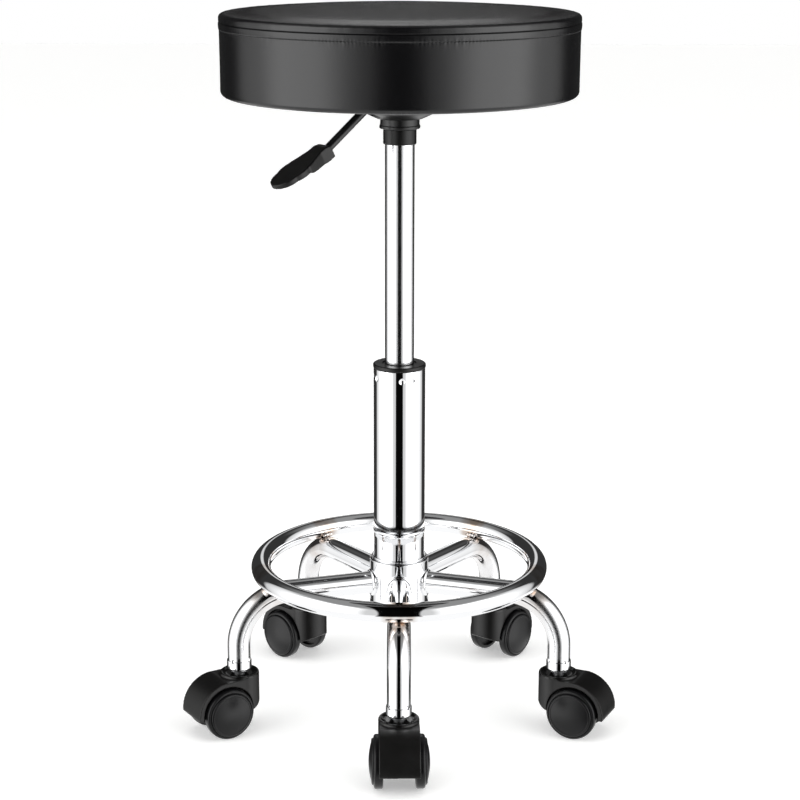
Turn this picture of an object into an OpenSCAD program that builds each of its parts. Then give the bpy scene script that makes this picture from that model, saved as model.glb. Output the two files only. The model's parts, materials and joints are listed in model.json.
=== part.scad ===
// Height-adjustable swivel stool: round padded seat on a gas lift, five-leg tube base
// with a foot ring, and five twin-wheel casters. Millimetres, +Z up, floor at z = 0.

/* [Seat] */
// Outer diameter of the upholstered seat
seat_d = 336; // [300:1:380]
// Height of the flat top of the seat above the floor, lift fully extended
seat_top_z = 690; // [670:1:720]
// Height of the lower edge of the seat
seat_bottom_z = 614; // [612:0.5:616]
// Radius of the rounded edge between the side band and the top panel
seat_edge_r = 8.5; // [6:0.5:12]
// Thickness of the vinyl cover
cover_t = 1.5; // [1:0.1:2.5]
// Thickness of the plywood board
board_t = 12; // [9:0.5:15]
// Height of the underside of the plywood board
board_z = 616; // [616:0.5:618]

/* [Mounting plate] */
// Side of the square mounting plate
plate_w = 150; // [130:1:180]
// Thickness of the plate and of its bell
plate_t = 2.5; // [2:0.25:3]
// Half the distance between neighbouring bolts
bolt_offset = 58; // [50:1:64]
// Diameter of the plate bolts
bolt_d = 6; // [5:1:8]
// Outer diameter of the socket that grips the column
socket_d = 37; // [35:0.5:40]

/* [Lever] */
// Direction in which the lever points, counted from +X
lever_heading = 218; // [200:1:250]
// Diameter of the lever rod
lever_rod_d = 8; // [7:0.5:9]
// Height of the straight inner end of the rod
lever_z = 607.5; // [606:0.5:608]
// Distance of the lever pivot from the column axis
lever_pivot_r = 22; // [20:0.5:26]
// Distance of the rod's bend from the column axis
lever_bend_r = 34; // [32:0.5:38]
// Downward slope of the rod behind the bend
lever_drop = 37; // [25:1:45]
// Length of the sloping part of the rod, hidden end included
lever_rod_l = 81; // [60:1:90]
// Downward slope of the paddle
paddle_drop = 26.5; // [10:0.5:35]
// Length of the paddle
paddle_l = 66; // [60:1:95]
// Greatest width of the paddle
paddle_w = 34; // [26:1:42]

/* [Gas lift] */
// Diameter of the sliding inner cylinder
cylinder_d = 28; // [28:1:28]
// Diameter of the fixed outer tube
tube_d = 50; // [50:1:50]
// Height of the upper end of the outer tube
tube_top_z = 352; // [340:1:360]
// Height at which the outer tube enters its socket
tube_bottom_z = 190.5; // [188:0.5:196]
// Travel of the seat, from fully extended to fully lowered
stroke = 150; // [120:1:150]
// Running clearance on the radius of every shaft in its hole
running_gap = 0.06; // [0.03:0.01:0.1]

/* [Base] */
// Number of legs and casters
leg_count = 5; // [5:1:5]
// Radius of the circle of the vertical leg ends
leg_circle_r = 164; // [150:1:180]
// Diameter of the leg tube
leg_d = 22; // [20:0.5:25]
// Wall thickness of the leg and ring tubes
tube_wall = 1.5; // [1.2:0.1:2]
// Height of the centre line of the horizontal part of the legs
leg_z = 135.5; // [130:0.5:145]
// Bend radius of the leg's centre line
leg_bend_r = 50; // [40:1:60]
// Height of the lower end of the legs
leg_end_z = 62; // [60:0.5:64]
// Radius of the foot ring's centre line
ring_r = 136.5; // [130:0.5:140]
// Diameter of the foot ring's tube
ring_d = 19; // [16:0.5:22]
// Height of the foot ring's centre line
ring_z = 151.5; // [151:0.5:152]
// Outer diameter of the hub
hub_d = 58; // [56:1:64]
// Height of the top of the hub
hub_top_z = 160; // [155:1:165]
// Height of the bottom of the hub
hub_bottom_z = 112; // [106:1:116]
// Distance of the column axis behind the middle of the footprint
column_y = 14.5; // [10:0.5:20]

/* [Casters] */
// Diameter of the wheels
wheel_d = 50; // [48:1:52]
// Width of one wheel's tread
tread_w = 8.5; // [8:0.5:10]
// Distance from the caster's middle plane to the inner face of a tread
wheel_inner_x = 15; // [14:0.5:16]
// Trail: distance from the stem axis to the wheel axle
trail = 21.5; // [18:0.5:24]
// Width of the hood
hood_w = 38; // [36:1:40]
// Outer radius of the hood around the axle
hood_r = 31.5; // [31:0.5:33]
// Height of the hood's lower edge
hood_bottom_z = 22; // [20:0.5:24]
// Height of the top of the hood
hood_top_z = 59; // [58:0.5:59.5]
// Diameter of the caster stem
stem_d = 11; // [10:0.5:11]
// Heading of each caster, turned from straight outwards
caster_heading = [1.5, -7, -3, 10, 14]; // [-45:0.5:45]

/* [Hidden] */
$fn = 96;
seat_r = seat_d / 2;
seam_z = seat_top_z - seat_edge_r;
hem_z = board_z;
hem_w = 16;
dust_cover_t = 1;
plate_top_z = board_z - dust_cover_t;
plate_bottom_z = plate_top_z - plate_t;
bell_mouth_r = 50;
socket_r = socket_d / 2;
bell_floor_z = 592;
bell_neck_r = 22;
bell_knee_r = 35;
bell_knee_z = 598;
lever_rod_r = lever_rod_d / 2;
lever_bend_swell = 0.05;
lever_pin_r = 2;
ear_y = 6.1;
lever_bend_size = 12;
lever_slot_w = 13;
lever_slot_l = 31;
lever_bend_start = lever_bend_r - lever_bend_size * tan(lever_drop / 2);
arm_start_x = lever_bend_start + lever_bend_size * sin(lever_drop);
arm_start_z = lever_z - lever_bend_size * (1 - cos(lever_drop));
washer_t = 1.3;
washer_r = 7;
bolt_head_r = 5.5;
bolt_head_h = 3.4;
tee_flange_r = 9;
tee_flange_t = 1.5;
tee_barrel_r = 4.2;
tee_barrel_l = 8;

cylinder_r = cylinder_d / 2;
cylinder_top_z = 598;
taper_start_z = 580;
taper_top_r = cylinder_r - 0.4;
socket_bottom_z = 582.5;
collar_bottom_z = 568;
collar_r = 15.7;
button_r = 4;
button_gap = 0.4;
button_top_z = lever_z - lever_rod_d / 2 - button_gap;
button_flange_z = 584;

tube_r = tube_d / 2;
tube_bore_r = tube_r - 2;
bearing_z = 120;
race_t = 1.5;
race_r = 15;
ball_d = 4;
ball_circle_r = 11;
ball_count = 10;
lift_floor_z = bearing_z - 3;
rod_foot_z = lift_floor_z - 4.5;
top_race_z = bearing_z + race_t + ball_d + 0.3;
piston_rod_r = 5;
bumper_z = top_race_z + race_t + 1.7;
bumper_h = 10;
bumper_r = 12;
clip_r = 9;
cylinder_bottom_z = bumper_z + bumper_h + 1 + stroke;
guide_h = 70;
guide_bottom_z = tube_top_z - guide_h;
cap_r = 25.5;
cap_h = 4.5;
taper_upper_r = 22.4;
taper_lower_r = 21.8;
piston_r = cylinder_r - tube_wall - running_gap;
piston_h = 12;
piston_z = cylinder_bottom_z + 11;
sleeve_r = 24.8;

leg_r = leg_d / 2;
ring_tube_r = ring_d / 2;
hub_r = hub_d / 2;
leg_step = 360 / leg_count;
leg_socket_h = 23;
leg_collar_r = leg_r + 1;
leg_collar_h = 9.5;
stem_r = stem_d / 2;
stem_foot_z = 32;
stem_flange_r = 9;

wheel_r = wheel_d / 2;
wheel_outer_x = wheel_inner_x + tread_w;
cap_face_r = 21.5;
cap_dome_h = 4.8;
hollow_inner_r = 7.5;
hollow_outer_r = 21;
hollow_depth = 4.5;
axle_r = 2.5;
axle_half_l = wheel_outer_x - 1;
hood_core_x = wheel_inner_x - 0.6;
hood_pocket_r = wheel_r + 1.5;
hood_swell = 0.15;
boss_cut_r = 45;
boss_cut_y = -6;
dish_r = 17;
dish_floor_r = 13.5;
dish_depth = 1.8;
hem_corner_r = 5.5;
board_chamfer = 4.5;

// ---------- shared helpers ----------

module on_column() {
    translate([0, column_y, 0]) children();
}

module at_lever() {
    on_column() rotate([0, 0, lever_heading]) children();
}

// Places its children on leg number k, whose own frame points outwards along -Y
module at_leg(k) {
    on_column() rotate([0, 0, (k - 1) * leg_step]) children();
}

// Places its children in the frame of caster number k: stem axis at the origin, axle along X
module at_caster(k) {
    at_leg(k)
        translate([0, -leg_circle_r, 0])
        rotate([0, 0, caster_heading[k - 1]])
        children();
}

// Turned ring between two radii and two heights, with a rounded outer edge
module turned_ring(inner, outer, low, high, edge = 0) {
    rotate_extrude() ring_section(inner, outer, low, high, edge);
}

module ring_section(inner, outer, low, high, edge) {
    if (edge == 0) {
        translate([inner, low]) square([outer - inner, high - low]);
    } else {
        translate([inner, low]) square([outer - edge - inner, high - low]);
        translate([inner, low + edge]) square([outer - inner, high - low - 2 * edge]);
        translate([outer - edge, low + edge]) circle(edge, $fn = 32);
        translate([outer - edge, high - edge]) circle(edge, $fn = 32);
    }
}

// Half section of the upholstered seat, drawn in by an inset
module seat_section(inset) {
    r = seat_r - inset;
    edge = seat_edge_r - inset;
    low = seat_bottom_z + inset;
    translate([0, low]) square([r, seam_z - low]);
    translate([0, seam_z]) square([r - edge, edge]);
    intersection() {
        translate([seat_r - seat_edge_r, seam_z]) circle(edge);
        translate([0, seam_z]) square([seat_r, seat_edge_r]);
    }
}

module at_bolts() {
    for (x = [-bolt_offset, bolt_offset], y = [-bolt_offset, bolt_offset])
        translate([x, y, 0]) children();
}

// ---------- seat ----------

// Vinyl top panel with its rounded edge, down to the seam
module seat_top_panel() {
    color("black") on_column() rotate_extrude() difference() {
        intersection() {
            seat_section(0);
            translate([0, seam_z]) square([seat_r, seat_edge_r]);
        }
        seat_section(cover_t);
    }
}

// Vinyl side band, folded in under the board as a hem
module seat_side_band() {
    hem_inner_r = seat_r - hem_w;
    color("black") on_column() rotate_extrude() difference() {
        union() {
            translate([hem_inner_r, seat_bottom_z])
                square([hem_w - hem_corner_r, seam_z - seat_bottom_z]);
            translate([hem_inner_r, seat_bottom_z + hem_corner_r])
                square([hem_w, seam_z - seat_bottom_z - hem_corner_r]);
            translate([seat_r - hem_corner_r, seat_bottom_z + hem_corner_r])
                circle(hem_corner_r, $fn = 64);
        }
        board_outline(seam_z);
    }
}

// Foam pad between the board and the cover, with pockets for the tee nut flanges
module seat_foam() {
    color("beige") on_column() difference() {
        rotate_extrude() intersection() {
            seat_section(cover_t);
            translate([0, board_z + board_t]) square([seat_r, seat_top_z]);
        }
        at_bolts() translate([0, 0, board_z + board_t - 1])
            cylinder(r = tee_flange_r + 0.5, h = tee_flange_t + 1.5);
    }
}

// Half section of the space inside the side band, with the board's chamfer at its foot
module board_outline(top) {
    r = seat_r - cover_t;
    polygon([[0, board_z], [r - board_chamfer, board_z], [r, board_z + board_chamfer], [r, top], [0, top]]);
}

// Plywood board with the four tee nut holes
module seat_board() {
    color("burlywood") on_column() difference() {
        rotate_extrude() board_outline(board_z + board_t);
        at_bolts() translate([0, 0, board_z - 1]) cylinder(r = tee_barrel_r, h = board_t + 2);
    }
}

// Thin black lining under the board, inside the hem
module dust_cover() {
    color("dimgray") on_column() difference() {
        translate([0, 0, board_z - dust_cover_t])
            cylinder(r = seat_r - hem_w, h = dust_cover_t);
        translate([0, 0, board_z - 3]) cylinder(r = bell_mouth_r, h = 6);
        at_bolts() translate([0, 0, board_z - 3]) cylinder(r = tee_barrel_r, h = 6);
    }
}

module tee_nuts() {
    top = board_z + board_t;
    color("silver") on_column() at_bolts() difference() {
        union() {
            translate([0, 0, top]) cylinder(r = tee_flange_r, h = tee_flange_t);
            translate([0, 0, top - tee_barrel_l]) cylinder(r = tee_barrel_r, h = tee_barrel_l);
        }
        translate([0, 0, top - tee_barrel_l - 1])
            cylinder(d = bolt_d, h = tee_barrel_l + tee_flange_t + 2);
    }
}

// ---------- mounting plate and lever ----------

module plate_washers() {
    color("silver") on_column() at_bolts()
        turned_ring(bolt_d / 2, washer_r, plate_bottom_z - washer_t, plate_bottom_z);
}

// Pan head bolts that reach up into the tee nuts
module plate_bolts() {
    head_z = plate_bottom_z - washer_t - bolt_head_h;
    color("silver") on_column() at_bolts() difference() {
        union() {
            turned_ring(0, bolt_head_r, head_z, plate_bottom_z - washer_t, 0.8);
            translate([0, 0, head_z + 1])
                cylinder(d = bolt_d, h = board_z + board_t - head_z - 1);
        }
        translate([0, 0, head_z - 1]) cylinder(d = 4, h = 3, $fn = 6);
    }
}

// Half section of the space below the bell's inner face
module below_bell_section() {
    polygon([[0, 0], [bell_mouth_r + 4, 0], [bell_mouth_r + 4, plate_top_z],
             [bell_mouth_r, plate_top_z], [bell_knee_r - plate_t, bell_knee_z + plate_t],
             [bell_neck_r - 1, bell_floor_z + plate_t], [0, bell_floor_z + plate_t]]);
}

// Half section of the stamped bell, between the plate and the column socket
module bell_section() {
    intersection() {
        below_bell_section();
        polygon([[socket_r, bell_floor_z], [bell_neck_r, bell_floor_z],
                 [bell_knee_r, bell_knee_z], [bell_mouth_r + 4, plate_bottom_z],
                 [bell_mouth_r + 4, plate_top_z], [socket_r, plate_top_z]]);
    }
}

// Square plate with rounded corners and a stamped bell, slotted where the lever comes out
module mount_plate() {
    corner_r = 12;
    corner = plate_w / 2 - corner_r;
    color("#1c1c1c") on_column() difference() {
        union() {
            difference() {
                translate([0, 0, plate_bottom_z]) linear_extrude(plate_t) union() {
                    square([plate_w, 2 * corner], center = true);
                    square([2 * corner, plate_w], center = true);
                    for (x = [-corner, corner], y = [-corner, corner])
                        translate([x, y]) circle(corner_r);
                }
                translate([0, 0, plate_bottom_z - 1])
                    cylinder(r = bell_mouth_r + 2, h = plate_t + 2);
            }
            rotate_extrude() bell_section();
        }
        at_bolts() translate([0, 0, plate_bottom_z - 1])
            cylinder(d = bolt_d + 0.8, h = plate_t + 2);
        rotate([0, 0, lever_heading])
            translate([lever_pivot_r + 5, -lever_slot_w / 2, bell_floor_z - 10])
            cube([lever_slot_l, lever_slot_w, 50]);
    }
}

// Tapered socket pressed over the top of the column and welded into the bell
module column_socket() {
    lip_h = 3.5;
    color("#1c1c1c") on_column() difference() {
        union() {
            turned_ring(0, socket_r + 0.7, socket_bottom_z, socket_bottom_z + lip_h, 1);
            translate([0, 0, socket_bottom_z + 1])
                cylinder(r = socket_r, h = cylinder_top_z - socket_bottom_z - 2);
        }
        translate([0, 0, taper_start_z])
            cylinder(r1 = cylinder_r, r2 = taper_top_r, h = cylinder_top_z - taper_start_z);
    }
}

// Two ears that stand in the bell and carry the lever pin
module lever_bracket() {
    ear_t = 2;
    ear_r = 5;
    color("#1c1c1c") at_lever() difference() {
        for (side = [-1, 1]) translate([lever_pivot_r, side * ear_y, 0]) rotate([90, 0, 0]) {
            translate([-2, bell_floor_z, -ear_t / 2])
                cube([ear_r + 5, lever_z - bell_floor_z, ear_t]);
            translate([0, lever_z, -ear_t / 2]) cylinder(r = ear_r, h = ear_t);
        }
        translate([lever_pivot_r, 0, lever_z]) rotate([90, 0, 0])
            cylinder(r = lever_pin_r, h = 20, center = true);
        rotate_extrude() below_bell_section();
    }
}

module lever_pin() {
    head_t = 1.2;
    shank = 2 * ear_y + 2;
    color("silver") at_lever() translate([lever_pivot_r, 0, lever_z]) rotate([90, 0, 0]) {
        cylinder(r = lever_pin_r, h = shank, center = true);
        for (side = [-1, 1]) translate([0, 0, side * (shank + head_t) / 2])
            cylinder(r = lever_pin_r + 1, h = head_t, center = true);
    }
}

// Steel rod: a straight inner end over the button, a pivot hole, a bend and the sloping arm
module lever_rod() {
    color("#151515") at_lever() difference() {
        union() {
            translate([-2, 0, lever_z]) rotate([0, 90, 0])
                cylinder(r = lever_rod_r, h = lever_bend_start + 2.4);
            translate([lever_bend_start, 0, lever_z - lever_bend_size]) rotate([90, 0, 0])
                rotate([0, 0, 90 - lever_drop]) rotate_extrude(angle = lever_drop)
                translate([lever_bend_size, 0]) circle(lever_rod_r + lever_bend_swell);
            translate([arm_start_x, 0, arm_start_z]) rotate([0, 90 + lever_drop, 0])
                translate([0, 0, -0.4]) cylinder(r = lever_rod_r, h = lever_rod_l);
        }
        translate([lever_pivot_r, 0, lever_z]) rotate([90, 0, 0])
            cylinder(r = lever_pin_r + running_gap, h = 20, center = true);
    }
}

// Outline of the paddle seen from above, length along +X
module paddle_outline() {
    neck_w = 19;
    tip_r = paddle_w * 0.44;
    difference() {
        union() {
            translate([0, -neck_w / 2]) square([paddle_l - tip_r, neck_w]);
            translate([paddle_l - tip_r, 0]) circle(tip_r);
            translate([paddle_l * 0.62, 0]) circle(d = paddle_w);
            translate([paddle_l * 0.62, -tip_r]) square([paddle_l * 0.38 - tip_r, 2 * tip_r]);
            polygon([[paddle_l * 0.2, -neck_w / 2], [paddle_l * 0.5, -paddle_w * 0.466],
                     [paddle_l * 0.5, paddle_w * 0.466], [paddle_l * 0.2, neck_w / 2]]);
        }
        translate([-1, -paddle_w]) square([1, 2 * paddle_w]);
    }
}

// Side view of the paddle: a thick socket with a step below, thinning to the tip
module paddle_side() {
    polygon([[0, -6.5], [0, 5], [6, 6.5], [paddle_l * 0.4, 4.5], [paddle_l, 2],
             [paddle_l, -2.5], [paddle_l * 0.52, -2.5], [paddle_l * 0.46, -5],
             [paddle_l * 0.36, -6], [8, -7.5]]);
}

// Moulded paddle pressed over the end of the rod
module lever_paddle() {
    grip = 22;
    run = lever_rod_l - grip;
    socket_x = arm_start_x + run * cos(lever_drop);
    socket_z = arm_start_z - run * sin(lever_drop);
    color("#151515") at_lever() difference() {
        translate([socket_x, 0, socket_z]) rotate([0, paddle_drop, 0]) intersection() {
            translate([0, 0, -15]) linear_extrude(30) paddle_outline();
            rotate([90, 0, 0]) translate([0, 0, -30]) linear_extrude(60) paddle_side();
        }
        translate([arm_start_x, 0, arm_start_z]) rotate([0, 90 + lever_drop, 0])
            translate([0, 0, -0.4]) cylinder(r = lever_rod_r, h = lever_rod_l);
    }
}

// ---------- gas lift ----------

// Sliding pressure cylinder with the tapered head that fits the column socket
module gas_cylinder() {
    bore_r = cylinder_r - tube_wall;
    color("silver") on_column() difference() {
        union() {
            translate([0, 0, cylinder_bottom_z])
                cylinder(r = cylinder_r, h = taper_start_z - cylinder_bottom_z);
            translate([0, 0, taper_start_z])
                cylinder(r1 = cylinder_r, r2 = taper_top_r, h = cylinder_top_z - taper_start_z);
        }
        translate([0, 0, cylinder_bottom_z - 1])
            cylinder(r = bore_r, h = cylinder_top_z - cylinder_bottom_z - 4);
        translate([0, 0, cylinder_top_z - 10]) cylinder(r = button_r + running_gap, h = 12);
    }
}

// Black dust ring under the column socket
module cylinder_collar() {
    color("#1c1c1c") on_column()
        turned_ring(cylinder_r, collar_r, collar_bottom_z, socket_bottom_z - 0.3, 0.6);
}

// Seal and guide that closes the lower end of the cylinder round the piston rod
module rod_guide() {
    color("dimgray") on_column()
        turned_ring(piston_rod_r + running_gap, cylinder_r - tube_wall,
                    cylinder_bottom_z, cylinder_bottom_z + 10);
}

// Release pin on top of the cylinder, held by its flange
module release_button() {
    color("silver") on_column() {
        translate([0, 0, button_flange_z])
            cylinder(r = button_r, h = button_top_z - button_flange_z);
        translate([0, 0, button_flange_z]) cylinder(r = button_r + 3, h = 3);
    }
}

module piston_rod() {
    color("silver") on_column() {
        translate([0, 0, rod_foot_z])
            cylinder(r = piston_rod_r, h = piston_z + piston_h - rod_foot_z);
        translate([0, 0, top_race_z + race_t])
            cylinder(r = piston_rod_r + 3, h = bumper_z - top_race_z - race_t);
    }
}

module piston_head() {
    color("dimgray") on_column() turned_ring(piston_rod_r, piston_r, piston_z, piston_z + piston_h);
}

// Stop buffer under the cylinder
module rubber_bumper() {
    color("#202020") on_column()
        turned_ring(piston_rod_r, bumper_r, bumper_z, bumper_z + bumper_h, 1);
}

module top_race() {
    color("silver") on_column() turned_ring(piston_rod_r, race_r, top_race_z, top_race_z + race_t);
}

module bottom_race() {
    color("silver") on_column() turned_ring(piston_rod_r + 2, race_r, bearing_z, bearing_z + race_t);
}

// Thrust balls in their cage
module bearing_balls() {
    ball_z = bearing_z + race_t + ball_d / 2;
    color("goldenrod") on_column() union() {
        turned_ring(ball_circle_r - 2.5, ball_circle_r + 2.5, ball_z - 0.6, ball_z + 0.6);
        for (k = [0 : ball_count - 1]) rotate([0, 0, k * 360 / ball_count])
            translate([ball_circle_r, 0, ball_z]) sphere(d = ball_d, $fn = 32);
    }
}

// Clip that holds the piston rod in the floor of the outer tube
module rod_clip() {
    color("silver") on_column()
        turned_ring(piston_rod_r, clip_r, rod_foot_z + 2.2, lift_floor_z - 0.8);
}

// Fixed outer tube: 50 mm above the socket, tapered inside it, closed by a floor
module outer_tube() {
    crimp_z = 343.5;
    crimp_r = 5;
    crimp_depth = 1.1;
    crimp_turn = -72;
    crimp_half_gap = 12;
    color("silver") on_column() difference() {
        union() {
            translate([0, 0, tube_bottom_z]) cylinder(r = tube_r, h = tube_top_z - tube_bottom_z);
            translate([0, 0, lift_floor_z])
                cylinder(r1 = taper_lower_r, r2 = taper_upper_r, h = tube_bottom_z - lift_floor_z);
        }
        translate([0, 0, tube_bottom_z + 3])
            cylinder(r = tube_bore_r, h = tube_top_z - tube_bottom_z);
        translate([0, 0, bearing_z]) cylinder(r = taper_lower_r - 2, h = tube_bottom_z);
        translate([0, 0, lift_floor_z - 1]) cylinder(r = piston_rod_r + running_gap, h = 10);
        for (quarter = [0 : 3], side = [-crimp_half_gap, crimp_half_gap])
            rotate([0, 0, quarter * 90 + crimp_turn + side])
                translate([tube_r + crimp_r - crimp_depth, 0, crimp_z]) sphere(crimp_r);
    }
}

// Plastic guide in the outer tube, with the cap that shows on top of it
module guide_bushing() {
    bore_r = cylinder_r + running_gap;
    color("#1c1c1c") on_column() rotate_extrude() {
        translate([bore_r, guide_bottom_z]) square([tube_bore_r - bore_r, guide_h]);
        difference() {
            ring_section(bore_r, cap_r, tube_top_z, tube_top_z + cap_h, 1.5);
            translate([bore_r, tube_top_z + cap_h - 1]) square([2.5, 2]);
        }
    }
}

// ---------- base ----------

// Tapered sleeve that takes the outer tube, with a rolled lip on top
module socket_sleeve() {
    lip_h = 5;
    lip_z = tube_bottom_z - lip_h - 0.5;
    color("silver") on_column() difference() {
        union() {
            translate([0, 0, hub_bottom_z]) cylinder(r = sleeve_r, h = lip_z + 1 - hub_bottom_z);
            turned_ring(0, sleeve_r + 0.6, lip_z, lip_z + lip_h, 1.5);
        }
        translate([0, 0, lift_floor_z])
            cylinder(r1 = taper_lower_r, r2 = taper_upper_r, h = tube_bottom_z - lift_floor_z);
        translate([0, 0, hub_bottom_z - 1]) cylinder(r = taper_lower_r, h = 10);
    }
}

module hub() {
    color("silver") on_column() turned_ring(sleeve_r, hub_r, hub_bottom_z, hub_top_z, 2);
}

// Solid of revolution that fills a leg tube of the given radius along the leg's path
module leg_path(r) {
    bend_start = leg_circle_r - leg_bend_r;
    drop = leg_z - leg_bend_r - leg_end_z;
    translate([0, -bend_start, leg_z]) rotate([-90, 0, 0]) cylinder(r = r, h = bend_start);
    translate([0, -bend_start, leg_z - leg_bend_r]) rotate([0, -90, 0]) rotate([0, 0, -90])
        rotate_extrude(angle = 90) translate([leg_bend_r, 0]) circle(r);
    translate([0, -leg_circle_r, leg_end_z]) cylinder(r = r, h = drop);
}

module ring_torus(r) {
    translate([0, 0, ring_z]) rotate_extrude($fn = 180) translate([ring_r, 0]) circle(r);
}

// Bent leg tube, coped on the hub, notched under the ring, swaged over the stem socket
module leg(k) {
    crimp_r = 2.4;
    crimp_depth = 0.9;
    color("silver") at_leg(k) difference() {
        union() {
            leg_path(leg_r);
            translate([0, -leg_circle_r, 0])
                turned_ring(0, leg_collar_r, leg_end_z, leg_end_z + leg_collar_h, 1.6);
        }
        leg_path(leg_r - tube_wall);
        translate([0, -leg_circle_r, leg_end_z - 1]) cylinder(r = leg_r - tube_wall, h = 12);
        cylinder(r = hub_r, h = 300);
        ring_torus(ring_tube_r);
        for (turn = [45 : 90 : 315]) translate([0, -leg_circle_r, leg_end_z + leg_collar_h + 0.5])
            rotate([0, 0, turn]) translate([leg_r + crimp_r - crimp_depth, 0, 0])
            sphere(crimp_r, $fn = 32);
    }
}

module leg_1() { leg(1); }
module leg_2() { leg(2); }
module leg_3() { leg(3); }
module leg_4() { leg(4); }
module leg_5() { leg(5); }

// Weld beads round the roots of the legs, and round the sleeve on top of the hub
module hub_welds() {
    bead_r = 2.4;
    color("silver") {
        for (k = [1 : leg_count]) at_leg(k) difference() {
            translate([0, -hub_r + 0.6, leg_z]) rotate([90, 0, 0])
                rotate_extrude() translate([leg_r, 0]) circle(bead_r, $fn = 32);
            translate([0, 0, leg_z]) rotate([90, 0, 0]) cylinder(r = leg_r, h = 80);
            cylinder(r = hub_r, h = 300);
        }
        on_column() turned_ring(sleeve_r, sleeve_r + 2, hub_top_z, hub_top_z + bead_r, 0.9);
    }
}

// Foot ring of rolled tube; its butt joint faces the back
module foot_ring() {
    joint = 0.2;
    color("silver") on_column() translate([0, 0, ring_z])
        rotate([0, 0, 90 + joint / 2]) rotate_extrude(angle = 360 - joint, $fn = 180)
        translate([ring_r, 0]) difference() {
            circle(ring_tube_r);
            circle(ring_tube_r - tube_wall);
        }
}

// Weld beads between the ring and the legs, one on each side of every crossing
module ring_welds() {
    bead_r = 4.5;
    bead_z = ring_z - ring_tube_r + 0.5;
    half_gap = 5.5;
    color("silver") for (k = [1 : leg_count]) at_leg(k) difference() {
        for (side = [-half_gap, half_gap])
            translate([0, -ring_r + side, bead_z]) sphere(bead_r, $fn = 48);
        ring_torus(ring_tube_r);
        leg_path(leg_r);
    }
}

// Plastic inserts that grip the caster stems in the leg ends
module leg_sockets() {
    color("#303030") for (k = [1 : leg_count]) at_leg(k) translate([0, -leg_circle_r, 0])
        turned_ring(stem_r, leg_r - tube_wall, leg_end_z, leg_end_z + leg_socket_h);
}

// ---------- casters ----------

// Stems fixed in the legs: a collar rests under each leg end, the pin goes on into the hood
module caster_stems() {
    color("gray") for (k = [1 : leg_count]) at_leg(k) translate([0, -leg_circle_r, 0]) {
        translate([0, 0, stem_foot_z])
            cylinder(r = stem_r, h = leg_end_z + leg_socket_h - 2 - stem_foot_z);
        turned_ring(0, stem_flange_r, hood_top_z + 0.4, leg_end_z, 0.8);
    }
}

// Places a shape whose own axis is Z along the axle, in the frame of a caster
module along_axle() {
    translate([0, -trail, wheel_r]) rotate([0, 90, 0]) children();
}

// Hood: stem boss, fender round the wheels and a core between them, open below
module hood(k) {
    pocket_x = 10;
    pocket_y = -trail - 6.5;
    color("#151515") at_caster(k) difference() {
        union() {
            intersection() {
                turned_ring(0, hood_w / 2 + hood_swell, hood_bottom_z, hood_top_z, 1.5);
                translate([0, boss_cut_y, hood_bottom_z - 0.5 + boss_cut_r]) rotate([0, 90, 0])
                    cylinder(r = boss_cut_r, h = 2 * hood_w, center = true, $fn = 180);
            }
            translate([-hood_w / 2, -trail, hood_bottom_z])
                cube([hood_w, trail, wheel_r + hood_r - hood_swell - hood_bottom_z]);
            intersection() {
                along_axle() cylinder(r = hood_r, h = hood_w, center = true);
                translate([-hood_w, -trail - 2 * hood_r, hood_bottom_z])
                    cube([2 * hood_w, 2 * hood_r, 2 * hood_r]);
            }
            along_axle() cylinder(r = axle_r + 4, h = hood_w, center = true);
        }
        for (side = [0, 1]) mirror([side, 0, 0]) along_axle()
            translate([0, 0, hood_core_x]) cylinder(r = hood_pocket_r, h = hood_w);
        intersection() {
            translate([-pocket_x, pocket_y - hood_r, 0])
                cube([2 * pocket_x, hood_r, wheel_r + 20]);
            along_axle() cylinder(r = hood_r - 3, h = hood_w, center = true);
        }
        translate([0, 0, hood_top_z - dish_depth])
            cylinder(r1 = dish_floor_r, r2 = dish_r, h = dish_depth);
        translate([0, 0, hood_top_z - 0.01]) cylinder(r = dish_r, h = 1);
        translate([0, 0, stem_foot_z - 1])
            cylinder(r = stem_r + running_gap, h = hood_top_z);
        along_axle() cylinder(r = axle_r, h = 2 * hood_w, center = true);
    }
}

module hood_1() { hood(1); }
module hood_2() { hood(2); }
module hood_3() { hood(3); }
module hood_4() { hood(4); }
module hood_5() { hood(5); }

module axle(k) {
    color("silver") at_caster(k) along_axle()
        cylinder(r = axle_r, h = 2 * axle_half_l, center = true);
}

module axle_1() { axle(1); }
module axle_2() { axle(2); }
module axle_3() { axle(3); }
module axle_4() { axle(4); }
module axle_5() { axle(5); }

// Half section of a moulded wheel: axle along the section's Y, tread to the right
module wheel_section() {
    dome_r = (pow(cap_face_r, 2) + pow(cap_dome_h, 2)) / (2 * cap_dome_h);
    dome_y = wheel_outer_x + cap_dome_h - dome_r;
    difference() {
        union() {
            ring_section(0, wheel_r, wheel_inner_x, wheel_outer_x, 1.8);
            intersection() {
                translate([0, dome_y]) circle(dome_r, $fn = 180);
                translate([0, wheel_outer_x - 1]) square([cap_face_r - 0.8, cap_dome_h + 1]);
            }
        }
        translate([0, wheel_inner_x - 1])
            square([axle_r + running_gap, axle_half_l - wheel_inner_x + 1.3]);
        translate([hollow_inner_r, wheel_inner_x - 1])
            square([hollow_outer_r - hollow_inner_r, hollow_depth + 1]);
    }
}

// Wheel of caster number k, on the side given by -1 or 1
module wheel(k, side) {
    color("#202020") at_caster(k) mirror([side < 0 ? 1 : 0, 0, 0]) along_axle()
        rotate_extrude() wheel_section();
}

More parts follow.
